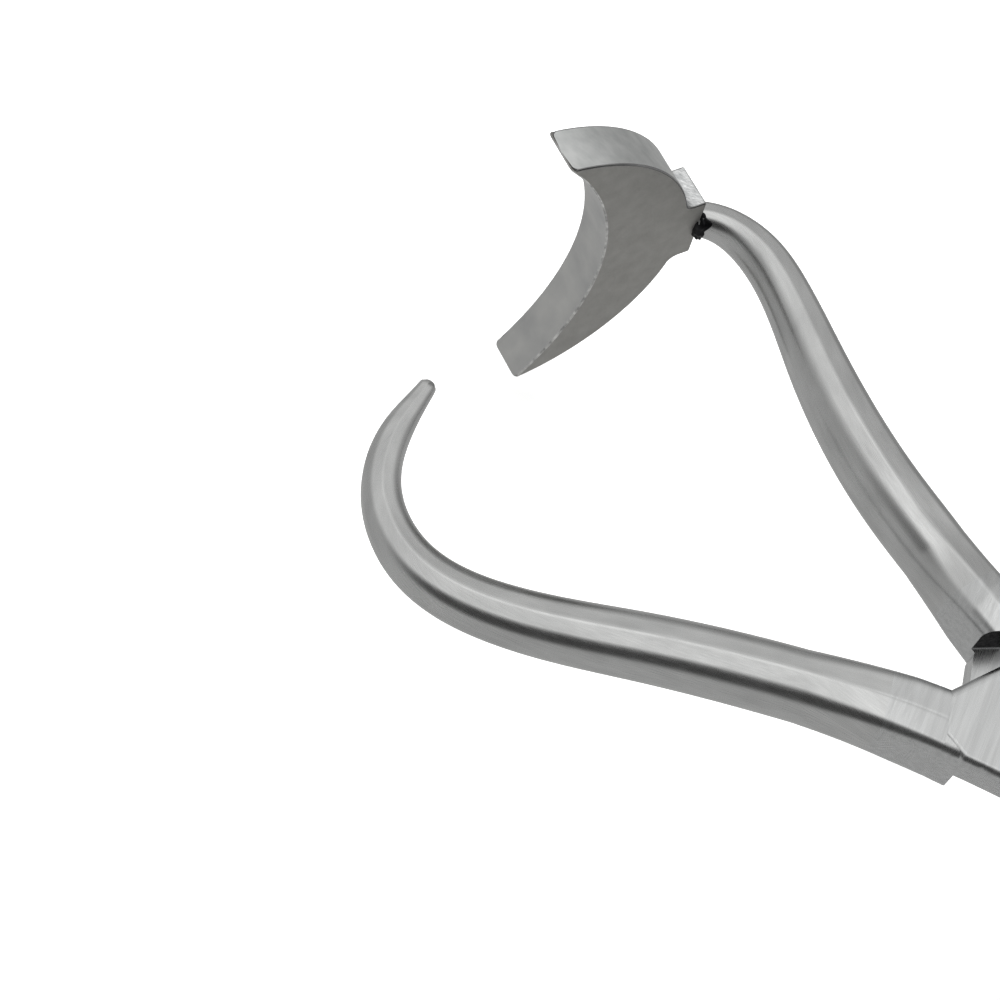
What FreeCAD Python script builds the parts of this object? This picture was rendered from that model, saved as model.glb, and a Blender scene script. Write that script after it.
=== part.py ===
import FreeCAD, Part
import math
import os

import Sketcher

# Bone holding forceps with a crescent jaw and a hook jaw, joined at a screw lap joint.
# Millimetres. The jaws point to -X and the handles to +X. The screw's axis is the Z axis.
# The origin is on that axis, on the flat underside of the lap joint. Z is up.
# Every half is drawn about the middle plane of the lap joint, and its body then stands
# half a joint thickness above the origin.

Vector = FreeCAD.Vector
Rotation = FreeCAD.Rotation
Placement = FreeCAD.Placement

doc = FreeCAD.newDocument("bone_holding_forceps")

# Driving sizes
SIZES = [
    ("lap_half", 3.8, "height of each half of the lap joint"),
    ("lap_gap", 0.04, "running gap between the two halves"),
    ("waist_half", 7.05, "half width of the joint at the screw"),
    ("waist_radius", 140.0, "radius of the hollow side of the joint"),
    ("plate_reach", 16.3, "radius of the rounded end of a plate"),
    ("plate_stop", 12.9, "distance of a plate's straight end from the screw"),
    ("wall_reach", 13.84, "distance of a shoulder wall from the screw"),
    ("wall_angle", 131.9, "direction that the crescent arm's wall lies in"),
    ("stop_angle", 23.7, "turn that would bring a plate's end against the wall"),
    ("plate_edge_radius", 1.0, "rounding of the joint's outer edges"),
    ("plate_corner", 1.2, "rounding of a plate's corners"),
    ("plate_wrap", 18.0, "degrees of the plate's round end, into its arm"),
    ("plate_tuck", 12.0, "how far along the joint the plate starts inside its arm"),
    ("root_x", 9.0, "how near the screw the arms run inside the joint"),
    ("root_y", 5.1, "how far to the side they start there"),
    ("root_width", 3.8, "half width of an arm where it starts"),
    ("root_height", 4.6, "height of an arm's ridge over the middle plane at its wall"),
    ("root_roundness", 0.3, "form of the arms beside the joint"),
    ("hook_root_roundness", 0.5, "the same under the hook arm"),
    ("root_relief", 0.04, "how far an arm stays below the plate's flat face"),
    ("closing", 18.5, "degrees that the crescent arm closes from rest"),
    ("opening", 12.0, "degrees that the crescent arm opens from rest"),
    # Hook jaw and its arm, from the joint to the tip: place, half width and half height
    ("hook_x0", -17.8, "joint end"),
    ("hook_y0", -7.55, ""),
    ("hook_w0", 3.65, ""),
    ("hook_x1", -28.0, "root"),
    ("hook_y1", -11.6, ""),
    ("hook_w1", 3.6, ""),
    ("hook_x2", -43.1, "middle of the straight run"),
    ("hook_y2", -18.9, ""),
    ("hook_w2", 3.37, ""),
    ("hook_x3", -55.3, "start of the bend"),
    ("hook_y3", -25.1, ""),
    ("hook_w3", 3.0, ""),
    ("hook_x4", -66.4, "bottom of the bend"),
    ("hook_y4", -26.9, ""),
    ("hook_w4", 2.52, ""),
    ("hook_x5", -74.1, "end of the bend"),
    ("hook_y5", -22.5, ""),
    ("hook_w5", 2.0, ""),
    ("hook_x6", -77.4, "neck of the tip"),
    ("hook_y6", -15.4, ""),
    ("hook_w6", 1.5, ""),
    ("hook_x7", -78.2, "tip"),
    ("hook_y7", -9.7, ""),
    ("hook_w7", 0.88, ""),
    # Crescent arm, from the joint to the weld
    ("bow_x0", -18.0, "joint end"),
    ("bow_y0", 7.9, ""),
    ("bow_w0", 3.15, ""),
    ("bow_x1", -25.3, "root"),
    ("bow_y1", 10.65, ""),
    ("bow_w1", 3.5, ""),
    ("bow_x2", -32.6, "start of the straight run"),
    ("bow_y2", 13.3, ""),
    ("bow_w2", 3.5, ""),
    ("bow_x3", -47.8, "middle of the run"),
    ("bow_y3", 21.5, ""),
    ("bow_w3", 3.02, ""),
    ("bow_x4", -56.1, "start of the bend"),
    ("bow_y4", 27.0, ""),
    ("bow_w4", 2.56, ""),
    ("bow_x5", -61.0, "outside of the bend"),
    ("bow_y5", 29.2, ""),
    ("bow_w5", 2.36, ""),
    ("bow_x6", -66.4, "end of the bend"),
    ("bow_y6", 29.5, ""),
    ("bow_w6", 1.95, ""),
    ("weld_half_width", 1.75, "half width of the arm's end at the weld"),
    # Crescent jaw
    ("jaw_x", -80.7, "middle of the crescent's outer arc"),
    ("jaw_y", 8.0, ""),
    ("jaw_angle", 64.2, "direction of the lug from the arc's middle"),
    ("jaw_radius", 21.0, "outer radius"),
    ("jaw_hollow_radius", 32.0, "radius of the hollow that meets the bone"),
    ("jaw_depth", 10.6, "thickness of the crescent behind the hollow"),
    ("jaw_thickness", 5.4, "width of the plate that the crescent is cut from"),
    ("jaw_tip_half", 20.77, "half distance between the blunt tips"),
    ("lug_reach", 22.6, "distance of the lug's back from the arc's middle"),
    ("lug_half_width", 4.8, "half width of the lug's back"),
    ("lug_root_half", 5.7, "half width of the lug where it meets the arc"),
    ("arm_overrun", 1.5, "how far the arm is drawn past its cut end"),
    ("weld_offset", 1.0, "how far the arm ends toward the near face of the lug"),
    ("weld_length", 0.6, "height of the weld between lug and arm"),
    ("weld_bulge", 0.35, "how far the weld stands out of the arm"),
    ("weld_bevel", 0.24, "bevel of the weld's rims"),
    ("jaw_edge_bevel", 0.15, "broken edges of the crescent's faces"),
    ("arm_roundness", 1.0, "form of the arms, 0 a box and 1 fully rounded"),
    ("grip_roundness", 0.55, "form of the handles on the same scale"),
    # Handles, from the joint to the tail
    ("handle_angle", 14.0, "angle of each lock barrel above the middle line"),
    ("lock_reach", 98.0, "distance of the lock barrels from the screw"),
    ("grip_x0", 17.8, "joint end"),
    ("grip_y0", 7.55, ""),
    ("grip_w0", 3.5, ""),
    ("grip_x1", 38.0, "start of the grip"),
    ("grip_y1", 14.4, ""),
    ("grip_w1", 3.1, ""),
    ("grip_x2", 60.0, "middle of the grip"),
    ("grip_y2", 20.0, ""),
    ("grip_w2", 3.3, ""),
    ("grip_x3", 80.0, "end of the grip"),
    ("grip_y3", 23.2, ""),
    ("grip_w3", 3.0, ""),
    ("tail_length", 13.0, "tail of a handle beyond its barrel"),
    ("tail_half_width", 2.6, "half width of the tail"),
    ("tail_half_height", 3.2, "half height of the tail"),
    ("tail_round", 1.3, "length of the tail's rounded end"),
    ("barrel_neck_width", 2.8, "half width of the handle at its barrel"),
    ("grip_half_height", 3.6, "half height of a handle"),
    ("rib_count", 8, "grooves across the outside of each grip"),
    ("rib_half_width", 1.1, "half width of a groove"),
    ("rib_cut", 0.5, "depth of a groove"),
    # Screw
    ("neck_radius", 3.0, "smooth neck that the hook arm turns on"),
    ("thread_radius", 2.5, "thread in the crescent arm"),
    ("screw_head_radius", 4.9, "head"),
    ("screw_head_sink", 1.3, "how deep the head sits in the joint"),
    ("screw_head_rise", 0.5, "how far the head stands out of it"),
    ("screw_slot_width", 1.2, "driver slot"),
    ("screw_slot_cut", 1.1, "depth of the driver slot"),
    ("screw_bevel", 0.4, "bevel of the head's rim"),
    ("run_gap", 0.05, "radial clearance of a turning fit"),
    ("head_gap", 0.3, "radial clearance round the head"),
    ("head_lift", 0.05, "running gap under the head"),
    # Lock
    ("barrel_radius", 5.2, "round barrel at the end of each handle"),
    ("barrel_half", 5.5, "half height of a barrel"),
    ("barrel_bevel", 0.5, "bevel of a barrel's rims"),
    ("rod_radius", 2.5, "spindle"),
    ("rod_length", 84.5, "spindle, from its pin to the stop"),
    ("eye_radius", 3.6, "eye of the spindle"),
    ("eye_thickness", 4.0, "thickness of the eye"),
    ("eye_neck", 6.8, "length of the flat neck from the pin"),
    ("pin_radius", 1.6, "pin of the eye"),
    ("fork_gap", 0.15, "clearance on each side of the eye"),
    ("swing_gap", 0.35, "clearance round the eye and the rod as they tilt"),
    ("saddle_radius", 4.3, "saddle washer"),
    ("saddle_top", 7.6, "flat side of the saddle from the barrel's middle"),
    ("saddle_skirt", 4.4, "open side of the saddle from the barrel's middle"),
    ("saddle_gap", 0.05, "clearance between saddle and barrel"),
    ("nut_radius", 7.2, "speed nut"),
    ("nut_length", 8.0, "length of the nut"),
    ("nut_nose_radius", 4.0, "nose that bears on the saddle"),
    ("nut_nose_length", 1.4, "length of the nose"),
    ("nut_gap", 0.1, "gap between nose and saddle"),
    ("flute_count", 14, "finger flutes round the nut"),
    ("flute_radius", 1.3, "radius of a flute"),
    ("flute_cut", 0.5, "depth of a flute"),
    ("nut_bevel", 0.6, "bevel of the nut's rims"),
    ("stop_radius", 3.8, "stop on the free end of the spindle"),
    ("stop_length", 3.0, "length of the stop"),
    ("tenon_radius", 1.5, "tenon under the stop"),
    ("tenon_length", 2.2, "length of the tenon"),
    ("stop_bevel", 0.8, "bevel of the stop's rim"),
]

sheet = doc.addObject("Spreadsheet::Sheet", "Sizes")
for row, (alias, value, meaning) in enumerate(SIZES, start=1):
    sheet.set(f"A{row}", meaning)
    sheet.set(f"B{row}", str(value))
    sheet.setAlias(f"B{row}", alias)
doc.recompute()


def size(alias):
    """The value of a named size, read back from the sheet."""
    return float(sheet.get(alias))


def polar(angle, distance):
    """A point at a direction in degrees and a distance, in the plane of the arms."""
    turn = math.radians(angle)
    return Vector(distance * math.cos(turn), distance * math.sin(turn), 0)


# Document helpers
def new_body(name):
    """A body that stands with the joint's middle plane above the origin."""
    body = doc.addObject("PartDesign::Body", name)
    body.Label = name
    body.setExpression("Placement.Base.z", "Sizes.lap_half")
    return body


def new_sketch(body, name, role, offset=None):
    """A sketch on one of the body's own origin planes, moved by an offset from it."""
    sketch = body.newObject("Sketcher::SketchObject", name)
    plane = next(o for o in body.Origin.OriginFeatures if o.Role == role)
    sketch.AttachmentSupport = [(plane, "")]
    sketch.MapMode = "FlatFace"
    if offset is not None:
        sketch.AttachmentOffset = offset
    return sketch


def bind(sketch, constraint, alias):
    """Adds a dimension to a sketch and ties it to a named size or an expression."""
    index = sketch.addConstraint(constraint)
    sketch.setExpression(f"Constraints[{index}]", alias)


def circle_sketch(body, name, role, alias, offset=None):
    """A sketch of one circle about its own origin, with its radius tied to a size."""
    sketch = new_sketch(body, name, role, offset)
    sketch.addGeometry(Part.Circle(Vector(0, 0, 0), Vector(0, 0, 1), 1.0))
    sketch.addConstraint(Sketcher.Constraint("Coincident", 0, 3, -1, 1))
    bind(sketch, Sketcher.Constraint("Radius", 0, 1.0), alias)
    return sketch


def outline_sketch(body, name, role, edges, offset=None):
    """A sketch that holds one closed outline of lines and arcs."""
    sketch = new_sketch(body, name, role, offset)
    for edge in edges:
        sketch.addGeometry(edge)
    return sketch


def pad(body, name, sketch, length, reverse=False, middle=False):
    """A pad whose length is tied to a size or an expression."""
    feature = body.newObject("PartDesign::Pad", name)
    feature.Profile = sketch
    feature.Reversed = reverse
    feature.Midplane = middle
    feature.setExpression("Length", length)
    doc.recompute()
    return feature


def pocket(body, name, sketch, length, reverse=False, middle=False):
    """A pocket whose depth is tied to a size, and which must take something away."""
    before = body.Shape.Volume
    feature = body.newObject("PartDesign::Pocket", name)
    feature.Profile = sketch
    feature.Reversed = reverse
    feature.Midplane = middle
    feature.setExpression("Length", length)
    doc.recompute()
    if body.Shape.Volume > before - 1e-6:
        raise RuntimeError(f"{name} cuts nothing")
    return feature


def polygon(points):
    """Lines that join the points and close."""
    return [
        Part.LineSegment(a, b) for a, b in zip(points, points[1:] + points[:1])
    ]


def flat_rims(shape, height):
    """Names of the edges that lie in the plane at a height, on either side of zero."""
    names = []
    for index, edge in enumerate(shape.Edges, start=1):
        box = edge.BoundBox
        if box.ZLength < 1e-4 and abs(abs(box.ZMin) - height) < 1e-4:
            names.append(f"Edge{index}")
    return names


def dress(body, name, kind, base, rims, alias):
    """A rounding or a bevel along named edges, tied to a size."""
    feature = body.newObject(f"PartDesign::{kind}", name)
    feature.Base = (base, rims)
    feature.setExpression("Radius" if kind == "Fillet" else "Size", alias)
    doc.recompute()
    return feature


def lifted(height):
    """The offset of a sketch that lies above its plane."""
    return Placement(Vector(0, 0, height), Rotation())


def disc(body, name, alias, length, height=0.0):
    """A round pad about the body's Z axis, from a height upward."""
    sketch = circle_sketch(body, f"{name}_circle", "XY_Plane", alias, lifted(height))
    return pad(body, name, sketch, length)


def turned_body(name, base, rotation):
    """A body that lies at a place beside the joint, turned to its own direction."""
    body = new_body(name)
    body.Placement = Placement(Vector(base.x, base.y, size("lap_half")), rotation)
    return body


def box_corners(x0, x1, y0, y1):
    """Four corners of a rectangle in a sketch."""
    return [Vector(x0, y0, 0), Vector(x1, y0, 0), Vector(x1, y1, 0), Vector(x0, y1, 0)]


# Arms and handles
def section(half_width, upper, lower):
    """The closed section of an arm, with a ridge above and below.

    A roof runs down from each ridge, turns through a corner arc, and ends in a short
    flat side. The section is drawn about its own middle, the ridge on the v axis.
    Above and below each have the ridge's height, the height where the side ends, and
    the radius of the corner.
    """

    def corner_points(u_sign, v_sign):
        height, side, corner = upper if v_sign > 0 else lower
        middle_u = half_width - corner
        turn = math.atan2(height - side, -middle_u)
        turn -= math.acos(corner / math.hypot(middle_u, height - side))
        points = []
        for angle in (turn, turn / 2, 0):
            u = middle_u + corner * math.cos(angle)
            v = side + corner * math.sin(angle)
            points.append(Vector(u * u_sign, v * v_sign, 0))
        return points

    ridges = {1: Vector(0, upper[0], 0), -1: Vector(0, -lower[0], 0)}
    edges = []
    for sign in (1, -1):
        leave, bend, top = corner_points(sign, sign)
        enter, turn_in, low = corner_points(sign, -sign)
        edges.append(Part.LineSegment(ridges[sign], leave))
        edges.append(Part.Arc(leave, bend, top))
        edges.append(Part.LineSegment(top, low))
        edges.append(Part.Arc(low, turn_in, enter))
        edges.append(Part.LineSegment(enter, ridges[-sign]))
    return edges


ROUND = 0.78  # corner radius of a fully rounded section, as a share of its half width
SIDE = 0.12  # half of its flat side, as a share of its half height
JAW_STEPS = 3  # sections of a jaw's arm from one station to the next
GRIP_STEPS = 2  # the same for a handle
TIP_FORM = ((0.5, 0.87), (0.88, 0.48))  # reach and width of a blunt end, in half widths


def half_section(width, height, soft):
    """Ridge height, side height and corner radius of one half of a section.

    Softness 0 is the box section of the joint, 1 the full arm section.
    """
    edge_radius = size("plate_edge_radius")
    corner = edge_radius + soft * (ROUND * width - edge_radius)
    side = (height - edge_radius) * (1 - soft) + soft * SIDE * height
    return height, side, corner


def smooth_path(points, knots):
    """A smooth curve through points at given distances along it."""
    path = Part.BSplineCurve()
    path.interpolate(Points=points, Parameters=knots)
    return path


def arm_loft(body, name, stations, steps):
    """A loft of sections at even steps between the stations of an arm.

    A station holds its place, half width, height above and below the middle plane, and
    softness above and below. The line of the arm and its width and heights run smoothly
    through the stations.
    """
    places = [Vector(*station[:2], 0) for station in stations]
    knots = [0.0]
    for a, b in zip(places, places[1:]):
        knots.append(knots[-1] + a.distanceToPoint(b))
    path = smooth_path(places, knots)
    courses = [
        smooth_path([Vector(knot, value, 0) for knot, value in zip(knots, column)], knots)
        for column in list(zip(*stations))[2:5]
    ]
    sketches = []
    for index in range(steps * (len(stations) - 1) + 1):
        low = min(index // steps, len(stations) - 2)
        share = index / steps - low
        mark = knots[low] + (knots[low + 1] - knots[low]) * share
        softness = [a + (b - a) * share for a, b in zip(stations[low][5:], stations[low + 1][5:])]
        place = path.value(mark)
        direction = path.tangent(mark)[0]
        heading = math.degrees(math.atan2(direction.y, direction.x))
        width, above, below = (course.value(mark).y for course in courses)
        edges = section(
            width,
            half_section(width, above, softness[0]),
            half_section(width, below, softness[1]),
        )
        offset = Placement(
            Vector(place.y, 0, place.x), Rotation(Vector(0, 1, 0), heading)
        )
        sketches.append(
            outline_sketch(body, f"{name}_{index}", "YZ_Plane", edges, offset)
        )
    loft = body.newObject("PartDesign::AdditiveLoft", name)
    loft.Profile = sketches[0]
    loft.Sections = sketches[1:]
    loft.Ruled = True
    doc.recompute()
    return loft


def rows(prefix, count, side=1):
    """Place and half width of each numbered station, mirrored for the other side."""
    return [
        (size(f"{prefix}_x{k}"), side * size(f"{prefix}_y{k}"), size(f"{prefix}_w{k}"))
        for k in range(count)
    ]


# Lap joint
def line_circle(angle, distance, radius, sign):
    """Where the line that lies at a direction and distance crosses a circle."""
    half = math.degrees(math.acos(distance / radius))
    return polar(angle + sign * half, radius)


def waist_point(x, side):
    """A point of the hollow side of the joint, above or below the middle line."""
    radius = size("waist_radius")
    y = size("waist_half") + radius - math.sqrt(radius**2 - x**2)
    return Vector(x, side * y, 0)


def waist_meets(angle, distance, tilt):
    """Where a straight end of the plate crosses its hollow side."""
    centre = polar(90 + tilt, size("waist_half") + size("waist_radius"))
    normal = polar(angle, 1.0)
    along = Vector(-normal.y, normal.x, 0)
    reach = distance - centre.dot(normal)
    half = math.sqrt(size("waist_radius") ** 2 - reach**2)
    ends = [centre + normal * reach + along * t for t in (half, -half)]
    return min(ends, key=lambda p: p.Length)


def plate_outline():
    """The plate: hollow sides, straight ends that meet the walls, and round ends.

    The hollow sides of the two halves are ground flush with the jaws closed, so in each
    half they are tilted by half of the angle that the jaws are open.
    """
    tilt = size("closing") / 2
    turn = Rotation(Vector(0, 0, 1), tilt)
    reach = size("plate_reach")
    stop_angle = size("wall_angle") + size("stop_angle")
    middle = turn.multVec(waist_point(0, -1))
    low = turn.multVec(waist_point(-size("plate_tuck"), -1))
    far_corner = waist_meets(stop_angle, size("plate_stop"), tilt)
    end_corner = line_circle(stop_angle, size("plate_stop"), reach, 1)
    end_turn = angle_of(end_corner)
    inside = polar(end_turn + size("plate_wrap"), reach)
    bend = polar(end_turn + size("plate_wrap") / 2, reach)
    outline = []
    for flip in (1, -1):
        outline += [
            Part.Arc(low * flip, middle * flip, far_corner * -flip),
            Part.LineSegment(far_corner * -flip, end_corner * -flip),
            Part.Arc(end_corner * -flip, bend * -flip, inside * -flip),
            Part.LineSegment(inside * -flip, low * -flip),
        ]
    return outline


def angle_of(point):
    """The direction of a point from the screw, from 0 to 360 degrees."""
    return math.degrees(math.atan2(point.y, point.x)) % 360


def add_plate(body):
    """The plate of a half, above its middle plane, rounded along its outer face."""
    lift = lifted(size("lap_gap") / 2)
    sketch = outline_sketch(body, "plate_outline", "XY_Plane", plate_outline(), lift)
    plate = pad(body, "plate", sketch, "Sizes.lap_half - Sizes.lap_gap / 2")
    corners = [
        f"Edge{index}"
        for index, edge in enumerate(plate.Shape.Edges, start=1)
        if edge.BoundBox.XLength < 1e-4 and edge.BoundBox.YLength < 1e-4
    ]
    plate = dress(body, "plate_corners", "Fillet", plate, corners, "Sizes.plate_corner")
    rim = flat_rims(plate.Shape, size("lap_half"))
    dress(body, "plate_rounding", "Fillet", plate, rim, "Sizes.plate_edge_radius")


def clear_other_plate(body):
    """Cuts away what lies under the middle plane between the two shoulder walls."""
    normal = polar(-size("wall_angle"), size("wall_reach"))
    along = Vector(-normal.y, normal.x, 0).normalize() * size("waist_radius")
    corners = [normal + along, normal - along, normal * -1 - along, normal * -1 + along]
    lift = lifted(size("lap_gap") / 2)
    sketch = outline_sketch(body, "wall_lines", "XY_Plane", polygon(corners), lift)
    pocket(body, "shoulder_walls", sketch, "2 * Sizes.barrel_half")


def joint_stations(stations, softness):
    """The first two stations of an arm: inside the joint, and beside it."""
    flush = size("lap_half") - size("root_relief")
    ridge = size("root_height")
    x, y, width = stations[0]
    side = math.copysign(1, x)
    inside = (side * size("root_x"), side * size("root_y"), size("root_width"))
    return [(*inside, flush, flush, 0.0, 0.0), (x, y, width, flush, ridge, *softness)]


def add_jaw_arm(body, name, stations, softness):
    """The arm of a jaw, lofted from inside the joint to the end of its stations."""
    run = joint_stations(stations, softness)
    soft = size("arm_roundness")
    run += [(x, y, width, width, width, soft, soft) for x, y, width in stations[1:]]
    arm_loft(body, name, run, JAW_STEPS)


def rounded_end(stations):
    """The stations of an arm with a blunt rounded end after the last one."""
    place, before = (Vector(*station[:2], 0) for station in (stations[-1], stations[-2]))
    ahead = (place - before).normalize()
    width = stations[-1][2]
    run = list(stations)
    for reach, share in TIP_FORM:
        spot = place + ahead * (reach * width)
        run.append((spot.x, spot.y, share * width))
    return run


def add_barrel(body, centre):
    """The upright barrel of a handle, turned to a profile with bevelled rims."""
    radius = size("barrel_radius")
    half = size("barrel_half")
    bevel = size("barrel_bevel")
    profile = [
        Vector(0, -half, 0),
        Vector(radius - bevel, -half, 0),
        Vector(radius, bevel - half, 0),
        Vector(radius, half - bevel, 0),
        Vector(radius - bevel, half, 0),
        Vector(0, half, 0),
    ]
    offset = Placement(Vector(centre.x, 0, -centre.y), Rotation())
    sketch = outline_sketch(body, "barrel_profile", "XZ_Plane", polygon(profile), offset)
    barrel = body.newObject("PartDesign::Revolution", "barrel")
    barrel.Profile = sketch
    barrel.ReferenceAxis = (sketch, ["V_Axis"])
    barrel.Angle = 360
    doc.recompute()


def add_handle(body, stations):
    """The handle of a half, lofted from inside the joint through its barrel."""
    height = size("grip_half_height")
    soft = size("grip_roundness")
    tail = size("tail_half_width")
    low = size("tail_half_height")
    centre = polar(size("handle_angle"), size("lock_reach"))
    ahead = (centre - Vector(*stations[-1][:2], 0)).normalize()
    neck = centre + ahead * (size("tail_length") - size("tail_round"))
    end = centre + ahead * size("tail_length")
    roots = (size("root_roundness"), size("root_roundness"))
    run = joint_stations(stations, roots)
    run += [(x, y, width, height, height, soft, soft) for x, y, width in stations[1:]]
    run.append((*centre[:2], size("barrel_neck_width"), height, height, soft, soft))
    run.append((*neck[:2], tail, low, low, soft, soft))
    run.append((*end[:2], tail / 2, low / 2, low / 2, soft, soft))
    arm_loft(body, "handle", run, GRIP_STEPS)
    add_barrel(body, centre)


def cut_ribs(body, stations):
    """Grooves across the outer side of the grip, square to the handle."""
    points = [Vector(x, y, 0) for x, y, _ in stations[1:]]
    path = Part.BSplineCurve()
    path.interpolate(Points=points)
    widths = [width for _, _, width in stations[1:]]
    count = int(size("rib_count"))
    cut = size("rib_cut")
    sketch = new_sketch(body, "rib_notches", "XY_Plane")
    for index in range(count):
        share = index / (count - 1)
        mark = path.FirstParameter + share * (path.LastParameter - path.FirstParameter)
        place = path.value(mark)
        ahead = path.tangent(mark)[0]
        outward = Vector(-ahead.y, ahead.x, 0)
        spot = share * (len(widths) - 1)
        low = min(int(spot), len(widths) - 2)
        width = widths[low] + (widths[low + 1] - widths[low]) * (spot - low)
        top = place + outward * (width + cut)
        spread = ahead * (2 * size("rib_half_width"))
        notch = [place + outward * (width - cut), top - spread, top + spread]
        sketch.addGeometry(polygon(notch))
    pocket(body, "ribs", sketch, "4 * Sizes.barrel_half", middle=True)


def cut_window(body, name, half_length, half_height):
    """An opening through a barrel in the line of the spindle."""
    centre = polar(size("handle_angle"), size("lock_reach"))
    offset = Placement(Vector(centre.x, 0, -centre.y), Rotation())
    corners = box_corners(-half_length, half_length, -half_height, half_height)
    sketch = outline_sketch(body, f"{name}_outline", "XZ_Plane", polygon(corners), offset)
    pocket(body, name, sketch, "4 * Sizes.barrel_radius", middle=True)


def bore(body, name, alias, length, offset=None):
    """A round hole about the Z axis of its sketch, through the middle of a half."""
    sketch = circle_sketch(body, f"{name}_circle", "XY_Plane", alias, offset)
    return pocket(body, name, sketch, length, middle=True)


# Hook arm
hook = rows("hook", 8)
grip = rows("grip", 4)
barrel_centre = polar(size("handle_angle"), size("lock_reach"))
swing = math.radians(max(size("closing"), size("opening")) / 2)

hook_arm = new_body("hook_arm")
add_plate(hook_arm)
roots = (size("root_roundness"), size("hook_root_roundness"))
add_jaw_arm(hook_arm, "jaw_arm", rounded_end(hook), roots)
add_handle(hook_arm, grip)
clear_other_plate(hook_arm)
cut_ribs(hook_arm, grip)
eye_half = size("eye_radius") + size("swing_gap")
cut_window(hook_arm, "fork", eye_half, size("eye_thickness") / 2 + size("fork_gap"))
bore(hook_arm, "pin_bore", "Sizes.pin_radius", "4 * Sizes.barrel_half",
     Placement(barrel_centre, Rotation()))
bore(hook_arm, "neck_bore", "Sizes.neck_radius + Sizes.run_gap", "4 * Sizes.lap_half")
bore(hook_arm, "head_seat", "Sizes.screw_head_radius + Sizes.head_gap",
     "2 * (Sizes.screw_head_sink + Sizes.head_lift)", lifted(size("lap_half")))

# Crescent arm, drawn like the hook arm and turned over about the X axis
bow = rows("bow", 7, -1)
jaw_turn = size("jaw_angle")
outward = polar(jaw_turn, 1.0)
lug_back = Vector(size("jaw_x"), size("jaw_y"), 0) + outward * size("lug_reach")
weld_place = lug_back + polar(jaw_turn - 90, size("weld_offset"))
arm_end = weld_place + outward * size("weld_length")
past_end = weld_place - outward * size("arm_overrun")

crescent_arm = new_body("crescent_arm")
crescent_arm.Placement.Rotation = Rotation(Vector(1, 0, 0), 180)
add_plate(crescent_arm)
end_station = (past_end.x, -past_end.y, size("weld_half_width"))
roots = (size("root_roundness"), size("root_roundness"))
add_jaw_arm(crescent_arm, "jaw_arm", bow + [end_station], roots)
add_handle(crescent_arm, grip)
clear_other_plate(crescent_arm)
end_place = Vector(arm_end.x, -arm_end.y, 0)
end_side = polar(90 - jaw_turn, size("jaw_radius"))
end_depth = polar(180 - jaw_turn, size("jaw_depth"))
end_lines = outline_sketch(
    crescent_arm,
    "end_lines",
    "XY_Plane",
    polygon(
        [
            end_place - end_side,
            end_place + end_side,
            end_place + end_side + end_depth,
            end_place - end_side + end_depth,
        ]
    ),
)
pocket(crescent_arm, "cut_end", end_lines, "2 * Sizes.jaw_radius", middle=True)
cut_ribs(crescent_arm, grip)
rod_half = size("rod_radius") / math.cos(swing) + size("barrel_radius") * math.tan(swing)
cut_window(crescent_arm, "slot", rod_half + size("swing_gap"),
           size("rod_radius") + size("swing_gap"))
bore(crescent_arm, "thread_bore", "Sizes.thread_radius", "4 * Sizes.lap_half")

# Crescent jaw
across = Rotation(Vector(0, 0, 1), jaw_turn).multiply(Rotation(Vector(1, 0, 0), 90))
crescent_jaw = turned_body(
    "crescent_jaw", Vector(size("jaw_x"), size("jaw_y"), 0), across
)
outer = size("jaw_radius")
hollow = size("jaw_hollow_radius")
hollow_x = outer - size("jaw_depth") - hollow
tip_y = size("jaw_tip_half")
lug_y = size("lug_half_width")
root_y = size("lug_root_half")
root_x = math.sqrt(outer**2 - root_y**2)
lug_x = (root_x + size("lug_reach")) / 2
inner_tip = hollow_x + math.sqrt(hollow**2 - tip_y**2)
outer_tip = math.sqrt(outer**2 - tip_y**2)
shoulder = polar(45, outer)
upper = [
    Part.LineSegment(Vector(inner_tip, tip_y, 0), Vector(outer_tip, tip_y, 0)),
    Part.Arc(Vector(outer_tip, tip_y, 0), shoulder, Vector(root_x, root_y, 0)),
    Part.Arc(
        Vector(root_x, root_y, 0),
        Vector((2 * root_x + lug_x) / 3, (root_y + 2 * lug_y) / 3, 0),
        Vector(lug_x, lug_y, 0),
    ),
    Part.LineSegment(Vector(lug_x, lug_y, 0), Vector(size("lug_reach"), lug_y, 0)),
]
lower = [
    Part.LineSegment(Vector(size("lug_reach"), -lug_y, 0), Vector(lug_x, -lug_y, 0)),
    Part.Arc(
        Vector(lug_x, -lug_y, 0),
        Vector((2 * root_x + lug_x) / 3, -(root_y + 2 * lug_y) / 3, 0),
        Vector(root_x, -root_y, 0),
    ),
    Part.Arc(
        Vector(root_x, -root_y, 0),
        Vector(shoulder.x, -shoulder.y, 0),
        Vector(outer_tip, -tip_y, 0),
    ),
    Part.LineSegment(Vector(outer_tip, -tip_y, 0), Vector(inner_tip, -tip_y, 0)),
]
back = Part.LineSegment(
    Vector(size("lug_reach"), lug_y, 0), Vector(size("lug_reach"), -lug_y, 0)
)
hollow_arc = Part.Arc(
    Vector(inner_tip, -tip_y, 0), Vector(hollow_x + hollow, 0, 0), Vector(inner_tip, tip_y, 0)
)
jaw_sketch = outline_sketch(
    crescent_jaw, "crescent_outline", "XY_Plane", upper + [back] + lower + [hollow_arc]
)
plate = pad(crescent_jaw, "crescent", jaw_sketch, "Sizes.jaw_thickness", middle=True)
rims = flat_rims(plate.Shape, size("jaw_thickness") / 2)
dress(crescent_jaw, "edges", "Chamfer", plate, rims, "Sizes.jaw_edge_bevel")

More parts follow.
